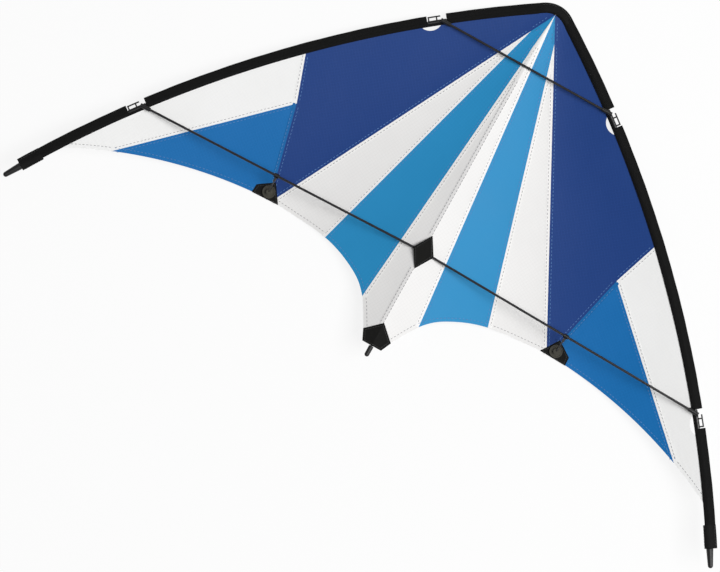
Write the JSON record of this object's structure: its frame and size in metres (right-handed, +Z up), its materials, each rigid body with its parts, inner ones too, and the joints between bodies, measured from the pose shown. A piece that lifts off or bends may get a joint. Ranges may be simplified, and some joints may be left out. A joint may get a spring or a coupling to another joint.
{
  "type": "sport kite",
  "caption": "Dual-line delta sport kite: panelled sail with scalloped trailing edge on bowed leading edge rods, spine and spreaders, with folding stand-offs.",
  "frame": {"origin": "middle of the bounding box in plan, on the floor that the kite lies on", "axes": "+X towards the right wing tip, +Y towards the nose, +Z up out of the spreader side of the sail; the kite lies on its nose and its two stand-off fittings"},
  "size_m": [1.4044, 0.7232, 0.058],
  "materials": {
    "white_sailcloth": "satin",
    "light_blue_sailcloth": "satin",
    "medium_blue_sailcloth": "satin",
    "dark_blue_sailcloth": "satin",
    "black_webbing": "matte",
    "black_fibreglass": "gloss",
    "black_vinyl": "satin",
    "black_moulding": "satin",
    "ferrule_metal": "satin"
  },
  "bodies": {
    "kite": {"centre_panel_left": "white_sailcloth", "centre_panel_right": "white_sailcloth", "centre_patch": "black_webbing", "centre_tee": "black_moulding", "edge_panel_left": "medium_blue_sailcloth", "edge_panel_right": "medium_blue_sailcloth", "leading_edge_ferrule_left": "ferrule_metal", "leading_edge_ferrule_right": "ferrule_metal", "leading_edge_rod_lower_left": "black_fibreglass", "leading_edge_rod_lower_right": "black_fibreglass", "leading_edge_rod_upper_left": "black_fibreglass", "leading_edge_rod_upper_right": "black_fibreglass", "leading_edge_sleeve_left": "black_webbing", "leading_edge_sleeve_right": "black_webbing", "light_stripe_left": "light_blue_sailcloth", "light_stripe_right": "light_blue_sailcloth", "lower_connector_left": "black_moulding", "lower_connector_right": "black_moulding", "lower_spreader_left": "black_fibreglass", "lower_spreader_right": "black_fibreglass", "nose_webbing": "black_webbing", "spine_cap": "black_vinyl", "spine_pocket": "white_sailcloth", "spine_rod": "black_fibreglass", "standoff_boss_left": "black_moulding", "standoff_boss_right": "black_moulding", "standoff_patch_left": "black_webbing", "standoff_patch_right": "black_webbing", "standoff_washer_left": "black_moulding", "standoff_washer_right": "black_moulding", "tail_patch": "black_webbing", "tip_cap_left": "black_vinyl", "tip_cap_right": "black_vinyl", "tip_panel_left": "white_sailcloth", "tip_panel_right": "white_sailcloth", "tip_webbing_left": "black_webbing", "tip_webbing_right": "black_webbing", "upper_connector_left": "black_moulding", "upper_connector_right": "black_moulding", "upper_spreader": "black_fibreglass", "white_stripe_left": "white_sailcloth", "white_stripe_right": "white_sailcloth", "wing_panel_left": "dark_blue_sailcloth", "wing_panel_right": "dark_blue_sailcloth"},
    "standoff_right": {"standoff_clip_right": "black_moulding", "standoff_rod_right": "black_fibreglass"},
    "standoff_left": {"standoff_clip_left": "black_moulding", "standoff_rod_left": "black_fibreglass"}
  },
  "joints": [
    {"name": "standoff_fold_right", "type": "hinge", "parent": "kite", "child": "standoff_right", "pos_m": [0.28586, -0.16501, 0.00829], "axis": [-0.9996, 0.0265, -0.0137], "range_deg": [0, 42]},
    {"name": "standoff_fold_left", "type": "hinge", "parent": "kite", "child": "standoff_left", "pos_m": [-0.28586, -0.16501, 0.00829], "axis": [-0.9996, -0.0265, 0.0137], "range_deg": [0, 42]}
  ]
}
